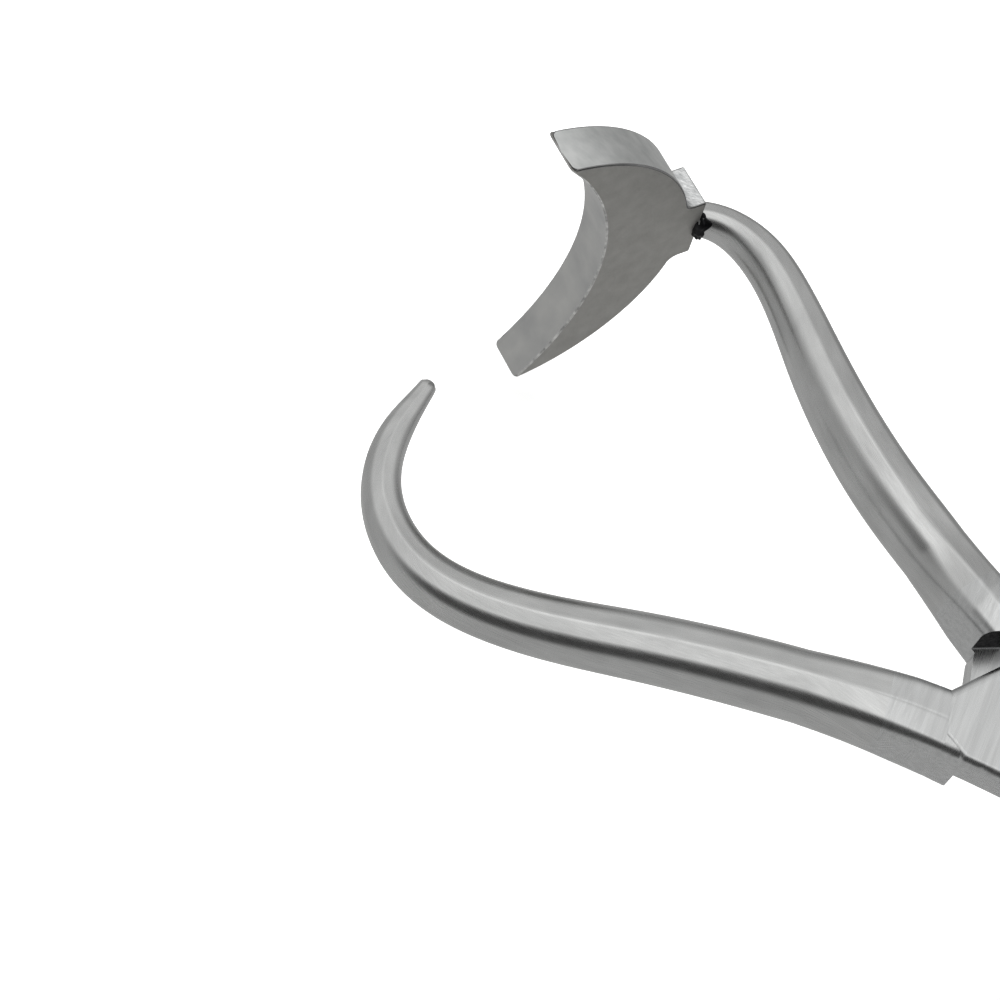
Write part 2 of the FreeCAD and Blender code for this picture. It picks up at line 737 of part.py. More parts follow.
# Weld bead between the arm and the back of the lug
along = Rotation(Vector(0, 0, 1), jaw_turn).multiply(Rotation(Vector(0, 1, 0), 90))
weld_bead = turned_body("weld_bead", weld_place, along)
bead = disc(weld_bead, "bead", "Sizes.weld_half_width + Sizes.weld_bulge", "Sizes.weld_length")
rims = flat_rims(bead.Shape, 0) + flat_rims(bead.Shape, size("weld_length"))
dress(weld_bead, "bead_rims", "Chamfer", bead, rims, "Sizes.weld_bevel")

# Pivot screw
pivot_screw = new_body("pivot_screw")
disc(pivot_screw, "thread", "Sizes.thread_radius", "Sizes.lap_half", -size("lap_half"))
disc(
    pivot_screw,
    "neck",
    "Sizes.neck_radius",
    "Sizes.lap_half - Sizes.screw_head_sink + Sizes.lap_gap / 2",
    -size("lap_gap") / 2,
)
head_floor = size("lap_half") - size("screw_head_sink")
head = disc(
    pivot_screw,
    "head",
    "Sizes.screw_head_radius",
    "Sizes.screw_head_sink + Sizes.screw_head_rise",
    head_floor,
)
head_top = size("lap_half") + size("screw_head_rise")
rims = flat_rims(head.Shape, head_top)
dress(pivot_screw, "head_rim", "Chamfer", head, rims, "Sizes.screw_bevel")
slot_half = size("screw_slot_width") / 2
slot_lines = outline_sketch(
    pivot_screw,
    "driver_slot_outline",
    "XY_Plane",
    polygon(box_corners(-outer, outer, -slot_half, slot_half)),
    lifted(head_top),
)
pocket(pivot_screw, "driver_slot", slot_lines, "Sizes.screw_slot_cut")

# Spindle, drawn along its own Z axis from the pin
downward = Rotation(Vector(1, 0, 0), 90)
spindle = turned_body("spindle", barrel_centre, downward)
disc(spindle, "rod", "Sizes.rod_radius", "Sizes.rod_length")
disc(spindle, "tenon", "Sizes.tenon_radius", "Sizes.tenon_length", size("rod_length"))
flat = size("eye_thickness") / 2
side_y = flat + size("rod_radius")
neck_z = size("eye_neck")
for name, low, high in (("upper_flat", flat, side_y), ("lower_flat", -side_y, -flat)):
    lines = polygon(box_corners(low, high, -neck_z, neck_z))
    sketch = outline_sketch(spindle, f"{name}_outline", "YZ_Plane", lines)
    pocket(spindle, name, sketch, "4 * Sizes.rod_radius", middle=True)
eye_circle = circle_sketch(spindle, "eye_circle", "XZ_Plane", "Sizes.eye_radius")
pad(spindle, "eye", eye_circle, "Sizes.eye_thickness", middle=True)
eye_bore = circle_sketch(spindle, "eye_bore_circle", "XZ_Plane", "Sizes.pin_radius + Sizes.run_gap")
pocket(spindle, "eye_bore", eye_bore, "2 * Sizes.eye_thickness", middle=True)

# Spindle pin
spindle_pin = turned_body("spindle_pin", barrel_centre, Rotation())
pin_circle = circle_sketch(spindle_pin, "pin_circle", "XY_Plane", "Sizes.pin_radius")
pad(spindle_pin, "pin", pin_circle, "2 * Sizes.barrel_half", middle=True)

# Spindle stop
spindle_stop = turned_body("spindle_stop", barrel_centre, downward)
button = disc(
    spindle_stop, "button", "Sizes.stop_radius", "Sizes.stop_length", size("rod_length")
)
rims = flat_rims(button.Shape, size("rod_length") + size("stop_length"))
dress(spindle_stop, "button_rim", "Chamfer", button, rims, "Sizes.stop_bevel")
hole = circle_sketch(
    spindle_stop, "tenon_hole_circle", "XY_Plane", "Sizes.tenon_radius", lifted(size("rod_length"))
)
pocket(spindle_stop, "tenon_hole", hole, "Sizes.tenon_length", reverse=True)

# Saddle washer on the crescent arm's barrel
far_barrel = Vector(barrel_centre.x, -barrel_centre.y, 0)
saddle_washer = turned_body("saddle_washer", far_barrel, downward)
disc(
    saddle_washer,
    "saddle",
    "Sizes.saddle_radius",
    "Sizes.saddle_top - Sizes.saddle_skirt",
    size("saddle_skirt"),
)
seat = circle_sketch(saddle_washer, "seat_circle", "XZ_Plane", "Sizes.barrel_radius + Sizes.saddle_gap")
pocket(saddle_washer, "seat", seat, "4 * Sizes.saddle_radius", middle=True)
hole = circle_sketch(saddle_washer, "rod_hole_circle", "XY_Plane", "Sizes.rod_radius + Sizes.run_gap")
pocket(saddle_washer, "rod_hole", hole, "4 * Sizes.saddle_top", middle=True)

# Lock nut
lock_nut = turned_body("lock_nut", far_barrel, downward)
nose_z = size("saddle_top") + size("nut_gap")
collar_z = nose_z + size("nut_nose_length")
disc(lock_nut, "nose", "Sizes.nut_nose_radius", "Sizes.nut_nose_length", nose_z)
collar = disc(lock_nut, "collar", "Sizes.nut_radius", "Sizes.nut_length", collar_z)
rims = flat_rims(collar.Shape, collar_z + size("nut_length"))
rims += [
    name
    for name in flat_rims(collar.Shape, collar_z)
    if collar.Shape.getElement(name).BoundBox.XLength > 2 * size("nut_nose_radius") + 1
]
dress(lock_nut, "collar_rims", "Chamfer", collar, rims, "Sizes.nut_bevel")
flutes = new_sketch(lock_nut, "flute_circles", "XY_Plane", lifted(collar_z))
flute_count = int(size("flute_count"))
flute_reach = size("nut_radius") + size("flute_radius") - size("flute_cut")
for index in range(flute_count):
    centre = polar(360 * index / flute_count, flute_reach)
    flutes.addGeometry(Part.Circle(centre, Vector(0, 0, 1), size("flute_radius")))
pocket(lock_nut, "flutes", flutes, "Sizes.nut_length", reverse=True)
hole = circle_sketch(lock_nut, "nut_bore_circle", "XY_Plane", "Sizes.rod_radius + Sizes.run_gap")
pocket(lock_nut, "nut_bore", hole, "4 * (Sizes.saddle_top + Sizes.nut_length)", middle=True)

# Checks and files
parts = [
    hook_arm,
    crescent_arm,
    crescent_jaw,
    weld_bead,
    pivot_screw,
    spindle,
    spindle_pin,
    spindle_stop,
    saddle_washer,
    lock_nut,
]
doc.recompute()
for item in doc.Objects:
    if "Invalid" in item.State or "Error" in item.State:
        raise RuntimeError(f"{item.Name} did not build")
for body in parts:
    shape = body.Shape
    if shape.isNull() or not shape.isValid() or len(shape.Solids) != 1:
        raise RuntimeError(f"{body.Label} is not one valid solid")
os.makedirs("parts", exist_ok=True)
for body in parts:
    body.Shape.exportStep(f"parts/{body.Label}.step")
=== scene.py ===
# %% [markdown]
# # Bone holding forceps
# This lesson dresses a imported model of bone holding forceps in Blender. The instrument is
# two forged steel halves that cross in a flat lap joint. One half ends in a blunt hook,
# the other carries a crescent plate that is welded to the end of its arm. The handles end
# in barrels that a threaded spindle passes through, and a fluted nut on it locks the grip.
#
# The model comes in as a fixed frame, in metres, with the joint on the origin, the jaws
# toward -X and the viewer of the photograph toward +Z. Each step below adds a surface, a
# finish or a light to that frame.

# %% Load the frame
import math

import bmesh
import bpy
import numpy as np
from mathutils import Matrix, Vector


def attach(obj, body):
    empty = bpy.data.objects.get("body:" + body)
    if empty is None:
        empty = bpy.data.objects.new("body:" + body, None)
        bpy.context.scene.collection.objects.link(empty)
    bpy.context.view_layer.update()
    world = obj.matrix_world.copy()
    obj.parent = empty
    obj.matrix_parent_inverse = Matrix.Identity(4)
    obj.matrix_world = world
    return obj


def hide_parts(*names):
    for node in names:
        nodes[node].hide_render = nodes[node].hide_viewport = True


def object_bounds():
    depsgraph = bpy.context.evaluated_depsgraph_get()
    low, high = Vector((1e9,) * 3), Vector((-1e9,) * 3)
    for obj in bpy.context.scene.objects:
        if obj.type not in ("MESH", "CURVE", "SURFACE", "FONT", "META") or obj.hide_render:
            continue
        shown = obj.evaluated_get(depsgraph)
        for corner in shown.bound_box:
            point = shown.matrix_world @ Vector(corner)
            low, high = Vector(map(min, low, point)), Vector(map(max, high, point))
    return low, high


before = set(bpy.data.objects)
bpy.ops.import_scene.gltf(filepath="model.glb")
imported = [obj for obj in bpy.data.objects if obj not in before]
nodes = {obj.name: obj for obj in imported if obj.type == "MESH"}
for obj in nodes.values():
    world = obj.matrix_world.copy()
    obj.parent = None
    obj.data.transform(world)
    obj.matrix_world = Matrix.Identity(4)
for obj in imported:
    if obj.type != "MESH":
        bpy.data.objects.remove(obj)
MM = 0.001
size_of_frame = [list(corner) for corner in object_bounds()]
print("frame corners", size_of_frame)

# %% [markdown]
# ## Camera
# The photograph looks down on the joint from the side of the hook arm. A camera is placed
# by a matrix whose columns are its right, up and backward directions. Working those out
# from the picture once is easier to keep exact than turning a camera by hand.

# %% Place the camera
SENSOR = 36  # width of the camera's sensor, mm
FOCAL = 2200 / 1000  # focal length over the width of the picture
RIGHT = Vector((0.786, 0.603, 0.135)).normalized()
BACK = Vector((0.186, -0.4385, 0.879))
BACK = (BACK - RIGHT * BACK.dot(RIGHT)).normalized()
UP = BACK.cross(RIGHT)
EYE = Vector((-21.5, -115.8, 205.5)) * MM

camera_data = bpy.data.cameras.new("photo_camera")
camera_data.sensor_width = SENSOR
camera_data.sensor_fit = "HORIZONTAL"
camera_data.lens = SENSOR * FOCAL
camera_data.clip_start = 0.01
camera = bpy.data.objects.new("photo_camera", camera_data)
bpy.context.scene.collection.objects.link(camera)
place = Matrix((RIGHT, UP, BACK)).transposed().to_4x4()
place.translation = EYE
camera.matrix_world = place
bpy.context.scene.camera = camera
bpy.context.scene.view_settings.view_transform = "Standard"
print("lens", camera_data.lens, "eye", tuple(EYE))

# %% [markdown]
# ## Studio
# Brushed steel has little colour of its own: it shows the room. In the photograph the
# facets that look up and away from the lens are bright, those that look at the lens are
# dark, and the flat sides are a middle grey. So the room is painted by direction, on an
# even grey like that of a table and walls. The ceiling is a soft white patch overhead on
# the far side, with the glow of the lamp inside it. The far wall is a little darker, and
# behind the handles a doorway is darker still, which draws the dark lines along the arms.
# The last patch is the photographer, who stands nearly black before the room. Each patch
# is a cone about a direction, with a soft edge. Painting the room is better here than
# hanging lamps, because a lamp of any size would show its own outline in the steel.

# %% Paint the room
def patch(tree, where, direction, inner, outer, inside, outside):
    """A value by direction: one value inside a cone, another outside, eased between.

    The easing runs over the cosine of the angle to the cone's axis, from the inner to the
    outer angle, in degrees.
    """
    along = tree.nodes.new("ShaderNodeVectorMath")
    along.operation = "DOT_PRODUCT"
    along.inputs[1].default_value = Vector(direction).normalized()
    tree.links.new(where.outputs["Generated"], along.inputs[0])
    cone = tree.nodes.new("ShaderNodeMapRange")
    cone.interpolation_type = "SMOOTHSTEP"
    cone.inputs["From Min"].default_value = math.cos(math.radians(outer))
    cone.inputs["From Max"].default_value = math.cos(math.radians(inner))
    cone.inputs["To Min"].default_value = outside
    cone.inputs["To Max"].default_value = inside
    tree.links.new(along.outputs["Value"], cone.inputs["Value"])
    return cone.outputs["Result"]


def combine(tree, operation, first, second):
    """Two values joined by one arithmetic step."""
    step = tree.nodes.new("ShaderNodeMath")
    step.operation = operation
    tree.links.new(first, step.inputs[0])
    tree.links.new(second, step.inputs[1])
    return step.outputs[0]


world = bpy.data.worlds.new("studio_room")
bpy.context.scene.world = world
world.use_nodes = True
tree = world.node_tree
tree.nodes.clear()
where = tree.nodes.new("ShaderNodeTexCoord")
# Each patch: its direction, inner and outer angle, then the value inside and outside.
ceiling = patch(tree, where, (-0.05, 0.45, 0.89), 20, 56, 0.84, 0.50)
lamp_glow = patch(tree, where, (-0.05, 0.20, 0.98), 5, 23, 0.50, 0.0)
far_wall = patch(tree, where, (0.0, 1.0, 0.05), 5, 42, -0.14, 0.0)
doorway = patch(tree, where, (0.95, 0.05, 0.22), 12, 42, -0.42, 0.0)
walls = combine(tree, "ADD", ceiling, lamp_glow)
walls = combine(tree, "ADD", combine(tree, "ADD", walls, far_wall), doorway)
photographer = patch(tree, where, (0.15, -0.55, 0.82), 20, 46, 0.12, 1.0)
brightness = combine(tree, "MULTIPLY", walls, photographer)
light = tree.nodes.new("ShaderNodeBackground")
light.inputs["Color"].default_value = (1.0, 1.0, 0.985, 1)
tree.links.new(brightness, light.inputs["Strength"])
out = tree.nodes.new("ShaderNodeOutputWorld")
tree.links.new(light.outputs[0], out.inputs["Surface"])
print("the room has", len(tree.nodes), "nodes")

# %% [markdown]
# ## Table and lamp
# The floor is a plain pale sheet that stays below the instrument and curves up behind it,
# so no horizon shows. It could be a plane with its far edge pulled up and bevelled. One
# grid does the same in a single step: flat in front, and a quarter of a circle at the
# back. Reflections pass through it, so that the steel shows the painted room, whose
# lower half is the grey of a table. The lamp lights only the floor for the same reason.

# %% Grid surfaces
def surface(name, points, closed=False, grain=None):
    """A mesh from a grid of points, rows by columns, each cell one smooth face.

    Closed joins the last column to the first, as for a tube. Grain is a grid of lengths
    along and across the surface, in metres, that becomes the piece's UV map.
    """
    rows, columns = points.shape[:2]
    index = np.arange(rows * columns).reshape(rows, columns)
    if closed:
        index = np.concatenate([index, index[:, :1]], axis=1)
    corners = [index[:-1, :-1], index[:-1, 1:], index[1:, 1:], index[1:, :-1]]
    faces = np.stack(corners, axis=-1).reshape(-1, 4)
    mesh = bpy.data.meshes.new(name)
    mesh.from_pydata(points.reshape(-1, 3).tolist(), [], faces.tolist())
    mesh.polygons.foreach_set("use_smooth", np.full(len(faces), True))
    if grain is not None:
        at = [grain[:-1, :-1], grain[:-1, 1:], grain[1:, 1:], grain[1:, :-1]]
        flat = np.stack(at, axis=2).reshape(-1)
        mesh.uv_layers.new(name="grain").data.foreach_set("uv", flat)
    mesh.update()
    piece = bpy.data.objects.new(name, mesh)
    bpy.context.scene.collection.objects.link(piece)
    return piece


# %% Lay the floor and hang the lamp
FLOOR = size_of_frame[0][2] - 0.004  # height of the floor, 4 mm below the model, m
LAMP_PLACE = Vector((-0.25, 0.35, 0.6))
LAMP_AIM = Vector((-0.02, 0.0, 0.0))  # the point that the lamp looks at


def sweep_floor(low, front, back, half_width, radius):
    """A flat sheet that turns up through a quarter circle at the back, then rises.

    It rises to three times the radius of the quarter circle. All lengths are in metres.
    """
    turn = np.linspace(0, math.pi / 2, 16)
    along = np.concatenate([[front], back + radius * np.sin(turn), [back + radius]])
    rise = np.concatenate([[0], radius * (1 - np.cos(turn)), [3 * radius]]) + low
    across = np.linspace(-half_width, half_width, 3)
    points = np.empty((len(along), 3, 3))
    points[..., 0] = across[None, :]
    points[..., 1] = along[:, None]
    points[..., 2] = rise[:, None]
    return surface("floor", points)


floor = sweep_floor(FLOOR, front=-1.2, back=0.9, half_width=1.6, radius=0.5)
floor.visible_glossy = False
lamp_data = bpy.data.lights.new("soft_lamp", "AREA")
lamp_data.shape = "SQUARE"
lamp_data.size = 0.5
lamp_data.energy = 3.0
lamp = bpy.data.objects.new("soft_lamp", lamp_data)
bpy.context.scene.collection.objects.link(lamp)
lamp.location = LAMP_PLACE
lamp.rotation_euler = (LAMP_AIM - LAMP_PLACE).to_track_quat("-Z", "Y").to_euler()
lamp.visible_glossy = False
print("floor at", round(FLOOR, 4), "lamp", lamp_data.energy, "W")

# %% [markdown]
# ## Steel finishes
# Every finish here is the same stainless steel, worked differently. Satin steel has been
# brushed with a fine belt, so its scratches run one way and smear reflections across it.
# Ground steel is coarser, with long scratches, as on the flats of the joint. Blasted
# steel has been dimpled with glass beads, so it is matte and finely speckled. The band
# and the hollow of the crescent are smoother and lighter than its blasted faces. Its
# outer rims are painted darker, a painted shade line, and its inner rims are painted
# bright in patches, as painted highlights. The flanks of its lug are filed. The screw and
# most of the lock are polished, and the weld is nearly black; the same near-black finish
# is the painted shade on the shoulder walls.
#
# A picture of scratches would do close up, but it needs a file and a place on every face.
# Noise needs neither. So each finish is a metal shader with a bump: long narrow noise for
# the brushing, fine round noise for the beads. Each pattern is given by the length and
# width of its grains in metres. A slow pattern changes the colour a little, and a fine
# one the roughness and the bump.

# %% Finish builder
DETAIL = 3.0  # how many finer copies are laid over each noise
USUAL_LOW, USUAL_HIGH = 0.3, 0.7  # most of the noise lies between these


def noise(tree, place, length, width, turn=0.0):
    """Noise whose grains have a length and a width, in metres, turned about Z in degrees.

    The mapping divides the place by the grain's size, in the turned directions.
    """
    mapping = tree.nodes.new("ShaderNodeMapping")
    mapping.vector_type = "TEXTURE"
    mapping.inputs["Rotation"].default_value = (0, 0, math.radians(turn))
    mapping.inputs["Scale"].default_value = (length, width, width)
    tree.links.new(place, mapping.inputs["Vector"])
    pattern = tree.nodes.new("ShaderNodeTexNoise")
    pattern.inputs["Scale"].default_value = 1.0
    pattern.inputs["Detail"].default_value = DETAIL
    tree.links.new(mapping.outputs[0], pattern.inputs["Vector"])
    return pattern.outputs["Fac"]


def spread(tree, value, low, high):
    """Noise carried over to a range, from its usual low to its usual high."""
    node = tree.nodes.new("ShaderNodeMapRange")
    node.inputs["From Min"].default_value = USUAL_LOW
    node.inputs["From Max"].default_value = USUAL_HIGH
    node.inputs["To Min"].default_value = low
    node.inputs["To Max"].default_value = high
    tree.links.new(value, node.inputs["Value"])
    return node.outputs["Result"]


def finish(name, dark, light, rough, slow, fine, bump, along="Object"):
    """A metal finish.

    Its colour runs between dark and light by the slow pattern, its roughness over a range
    by the fine one, which also raises the surface by the bump, in metres. The patterns
    lie in the object's own space, or along the piece's UV map.
    """
    material = bpy.data.materials.new(name)
    material.use_nodes = True
    tree = material.node_tree
    shader = tree.nodes["Principled BSDF"]
    shader.inputs["Metallic"].default_value = 1.0
    place = tree.nodes.new("ShaderNodeTexCoord").outputs[along]
    broad = noise(tree, place, *slow)
    grains = noise(tree, place, *fine)
    blend = tree.nodes.new("ShaderNodeMix")
    blend.data_type = "RGBA"
    blend.inputs["A"].default_value = (*dark, 1)
    blend.inputs["B"].default_value = (*light, 1)
    tree.links.new(spread(tree, broad, 0, 1), blend.inputs["Factor"])
    tree.links.new(blend.outputs["Result"], shader.inputs["Base Color"])
    tree.links.new(spread(tree, grains, *rough), shader.inputs["Roughness"])
    relief = tree.nodes.new("ShaderNodeBump")
    relief.inputs["Strength"].default_value = 1.0
    relief.inputs["Distance"].default_value = bump
    tree.links.new(grains, relief.inputs["Height"])
    tree.links.new(relief.outputs["Normal"], shader.inputs["Normal"])
    return material


# %% The finishes
# Each: name, dark and light colour, range of roughness, slow grain, fine grain, bump.
# A grain is its length, its width and, where it has a direction, its turn.
satin = finish(
    "satin_steel", (0.50, 0.503, 0.505), (0.61, 0.613, 0.615), (0.23, 0.31),
    (0.006, 0.0022), (0.0016, 0.00016), 0.0000012, "UV",
)
ground = finish(
    "ground_steel", (0.51, 0.515, 0.52), (0.61, 0.616, 0.622), (0.24, 0.33),
    (0.009, 0.0006, 103), (0.006, 0.00012, 103), 0.000002,
)
blasted = finish(
    "blasted_steel", (0.43, 0.425, 0.41), (0.49, 0.485, 0.47), (0.48, 0.60),
    (0.0017, 0.0017), (0.00020, 0.00020), 0.00002,
)
band = finish(
    "band_steel", (0.60, 0.615, 0.615), (0.74, 0.75, 0.75), (0.34, 0.46),
    (0.0018, 0.0012), (0.00025, 0.00025), 0.000006,
)
hollow = finish(
    "hollow_steel", (0.47, 0.475, 0.48), (0.62, 0.62, 0.61), (0.30, 0.38),
    (0.005, 0.005), (0.0003, 0.0003), 0.000002,
)
# Outer rims: a colour darker than the steel, painted shade along each outer rim.
edge = finish(
    "edge_steel", (0.22, 0.22, 0.225), (0.34, 0.34, 0.345), (0.16, 0.26),
    (0.002, 0.002), (0.0003, 0.0003), 0.000002,
)
# Inner rims: bright patches in the colour, painted highlights along the inner rims.
rim_glint = finish(
    "rim_glint_steel", (0.30, 0.30, 0.30), (0.85, 0.85, 0.84), (0.14, 0.26),
    (0.0009, 0.0009), (0.0003, 0.0003), 0.000002,
)
filed = finish(
    "filed_steel", (0.50, 0.51, 0.52), (0.86, 0.87, 0.88), (0.10, 0.22),
    (0.0009, 0.0004, 20), (0.0006, 0.0003, 20), 0.00006,
)
# Nearly black: the weld's own scale, and also the painted shade of the sheets on the
# shoulder walls.
dark = finish(
    "dark_steel", (0.012, 0.012, 0.014), (0.04, 0.04, 0.042), (0.35, 0.6),
    (0.0015, 0.0015), (0.0004, 0.0004), 0.00003,
)
polished = finish(
    "polished_steel", (0.58, 0.59, 0.60), (0.66, 0.67, 0.68), (0.12, 0.2),
    (0.004, 0.004), (0.0004, 0.0004), 0.000002,
)
paper = bpy.data.materials.new("pale_floor")
paper.use_nodes = True
sheet = paper.node_tree.nodes["Principled BSDF"]
sheet.inputs["Base Color"].default_value = (0.97, 0.97, 0.97, 1)
sheet.inputs["Roughness"].default_value = 0.9
sheet.inputs["Emission Color"].default_value = (1, 1, 1, 1)
sheet.inputs["Emission Strength"].default_value = 0.6
floor.data.materials.append(paper)
print("materials, with those of the frame", len(bpy.data.materials))


# %% Dress the nodes of the model
def dress(node, material):
    """Every material slot of a model node takes one finish."""
    mesh = nodes[node].data
    if not mesh.materials:
        mesh.materials.append(material)
    for index in range(len(mesh.materials)):
        mesh.materials[index] = material


NODE_FINISH = {
    "hook_arm": ground, "crescent_arm": ground, "crescent_jaw": blasted,
    "weld_bead": dark, "pivot_screw": polished, "spindle": polished,
    "spindle_pin": polished, "spindle_stop": polished, "saddle_washer": polished,
    "lock_nut": band,
}
for node, material in NODE_FINISH.items():
    dress(node, material)
print("finished", len(NODE_FINISH), "nodes")

# %% [markdown]
# ## Arms
# Each arm is forged: its section has a roof with a ridge above and below and a rounded
# corner on either side, and it narrows along an S-shaped line from the joint to the jaw.
# On the near face one or both corners are fuller than on the back. The frame holds an
# arm in short straight steps, which is good for a solid but shows as bands in polished
# steel. Smoothing that mesh would round its ridge away too. So a smooth skin is laid over
# it, a hair above. It is a section carried along a path: the path, the width and the
# heights are smooth curves through the same stations as in the solid, and the whole skin
# is worked out as one array.

# %% Smooth curves through stations
def smooth(knots, values, marks):
    """A cubic spline through values at knots, read at marks.

    Between two knots the curve is the cubic that has their values and slopes. The slopes
    make the bend continuous at each inner knot. At the ends the slope is that of the one
    cubic through the first or the last four values.
    """
    knots, values = np.asarray(knots, float), np.asarray(values, float)
    gap = np.diff(knots)
    rise = np.diff(values, axis=0) / gap[:, None]
    count = len(knots)
    system = np.zeros((count, count))
    right = np.zeros_like(values)
    inner = np.arange(1, count - 1)
    system[inner, inner - 1] = gap[1:]
    system[inner, inner] = 2 * (gap[:-1] + gap[1:])
    system[inner, inner + 1] = gap[:-1]
    right[inner] = 3 * (gap[1:, None] * rise[:-1] + gap[:-1, None] * rise[1:])
    for end, four in ((0, slice(0, 4)), (count - 1, slice(count - 4, count))):
        system[end, end] = 1
        powers = np.vander(knots[four] - knots[end], 4, increasing=True)
        right[end] = np.linalg.solve(powers, values[four])[1]
    slopes = np.linalg.solve(system, right)
    at = np.clip(np.searchsorted(knots, marks, side="right") - 1, 0, count - 2)
    share = ((marks - knots[at]) / gap[at])[:, None]
    size = gap[at][:, None]
    return (
        (2 * share**3 - 3 * share**2 + 1) * values[at]
        + (share**3 - 2 * share**2 + share) * size * slopes[at]
        + (3 * share**2 - 2 * share**3) * values[at + 1]
        + (share**3 - share**2) * size * slopes[at + 1]
    )


step_up = smooth([0, 1, 2, 3], [[0], [0], [1], [1]], np.array([1.5]))
print("half way up a step the curve is at", round(float(step_up[0, 0]), 3))

# %% Stations of the arms
# A station: x, y, half width, height above and below, softness above and below, in mm.
# Softness goes from 0, the flat plate of the joint, to 1, the ridged section of the arm.
MIDDLE = 3.8  # height of the joint's middle plane
FLUSH = 3.76  # height of the plate's faces over the middle plane
HOOK_TIP = 0.88  # half width of the hook's tip
ROOTS = [(-9, -5.1, 3.8, FLUSH, FLUSH, 0, 0)]
HOOK = ROOTS + [(-17.8, -7.55, 3.65, FLUSH, 4.6, 0.3, 0.5)]
HOOK += [(x, y, w, w, w, 1, 1) for x, y, w in (
    (-28.0, -11.6, 3.6), (-43.1, -18.9, 3.37), (-55.3, -25.1, 3.0), (-66.4, -26.9, 2.52),
    (-74.1, -22.5, 2.0), (-77.4, -15.4, 1.5), (-78.2, -9.7, HOOK_TIP),
)]
last, before = (np.array(station[:2]) for station in (HOOK[-1], HOOK[-2]))
ahead = (last - before) / np.linalg.norm(last - before)
for reach, share in ((0.5, 0.87), (0.88, 0.48)):  # two more stations round the tip
    width = share * HOOK_TIP
    HOOK.append((*(last + ahead * reach * HOOK_TIP), width, width, width, 1, 1))
CRESCENT = ROOTS + [(-18.0, -7.9, 3.15, FLUSH, 4.6, 0.3, 0.3)]
CRESCENT += [(x, -y, w, w, w, 1, 1) for x, y, w in (
    (-25.3, 10.65, 3.5), (-32.6, 13.3, 3.5), (-47.8, 21.5, 3.02), (-56.1, 27.0, 2.56),
    (-61.0, 29.2, 2.36), (-66.4, 29.5, 1.95), (-70.617, 26.561, 1.75),
)]
print("stations", len(HOOK), "and", len(CRESCENT))

# %% The section of an arm
EDGE = 1.0  # corner radius of the joint plate, mm
CROWN = 0.08  # half width of the blunted ridge, as a share of the arm's half width
BLUNTING = 0.1  # how far the ridge is lowered, as a share of its blunted half width
SIDE_END = 0.4  # height of the side's last point, as a share of that of the arc's middle
ROOF_SHARES = np.concatenate([np.linspace(0, 0.2, 6), np.linspace(0.3, 0.97, 6)])
ARC_SHARES = np.linspace(1, 0, 14)
# A corner: its radius as a share of the arm's half width, and the height of the arc's
# middle as a share of the arm's height. An arm has two on the near face, toward -Y and +Y.
PLAIN = (0.78, 0.12)
HOOK_CORNERS = ((0.6, 0.32), PLAIN)
CRESCENT_CORNERS = ((0.78, 0.16), (0.5, 0.34))


def quarter(width, height, soft, shape):
    """A quarter of the section, from the ridge to the middle of the flat side.

    A straight roof runs from the ridge and meets a corner arc where their directions
    agree. The arc ends upright, and a short flat side follows. The ridge itself is
    blunted: near it the roof is eased down by a small parabola.
    """
    corner = EDGE + soft * (shape[0] * width - EDGE)
    side = (height - EDGE) * (1 - soft) + soft * shape[1] * height
    middle = width - corner
    reach = np.hypot(middle, height - side)
    turn = np.arctan2(height - side, -middle) - np.arccos(corner / reach)
    angle = turn[:, None] * ARC_SHARES[None, :]
    arc = np.stack([middle[:, None] + corner[:, None] * np.cos(angle),
                    side[:, None] + corner[:, None] * np.sin(angle)], axis=-1)
    ridge = np.stack([np.zeros_like(height), height], axis=-1)[:, None, :]
    roof = ridge + (arc[:, :1] - ridge) * ROOF_SHARES[None, :, None]
    blunt = CROWN * width[:, None]
    near = np.clip(1 - roof[..., 0] / blunt, 0, 1)
    roof[..., 1] -= near**2 * blunt * BLUNTING
    flat = np.stack([width, side * SIDE_END], axis=-1)[:, None, :]
    return np.concatenate([roof, arc, flat], axis=1)


print("a quarter has", len(ROOF_SHARES) + len(ARC_SHARES) + 1, "points")

# %% The skin of an arm
SKIN_ROWS = 170
LIFT = 0.12  # height of the skins over the solid, mm
LIFT_RUN = 4  # length over which a skin rises to that height, mm
GROUND_END = 11.5  # distance along an arm where the finish of the joint ends, mm


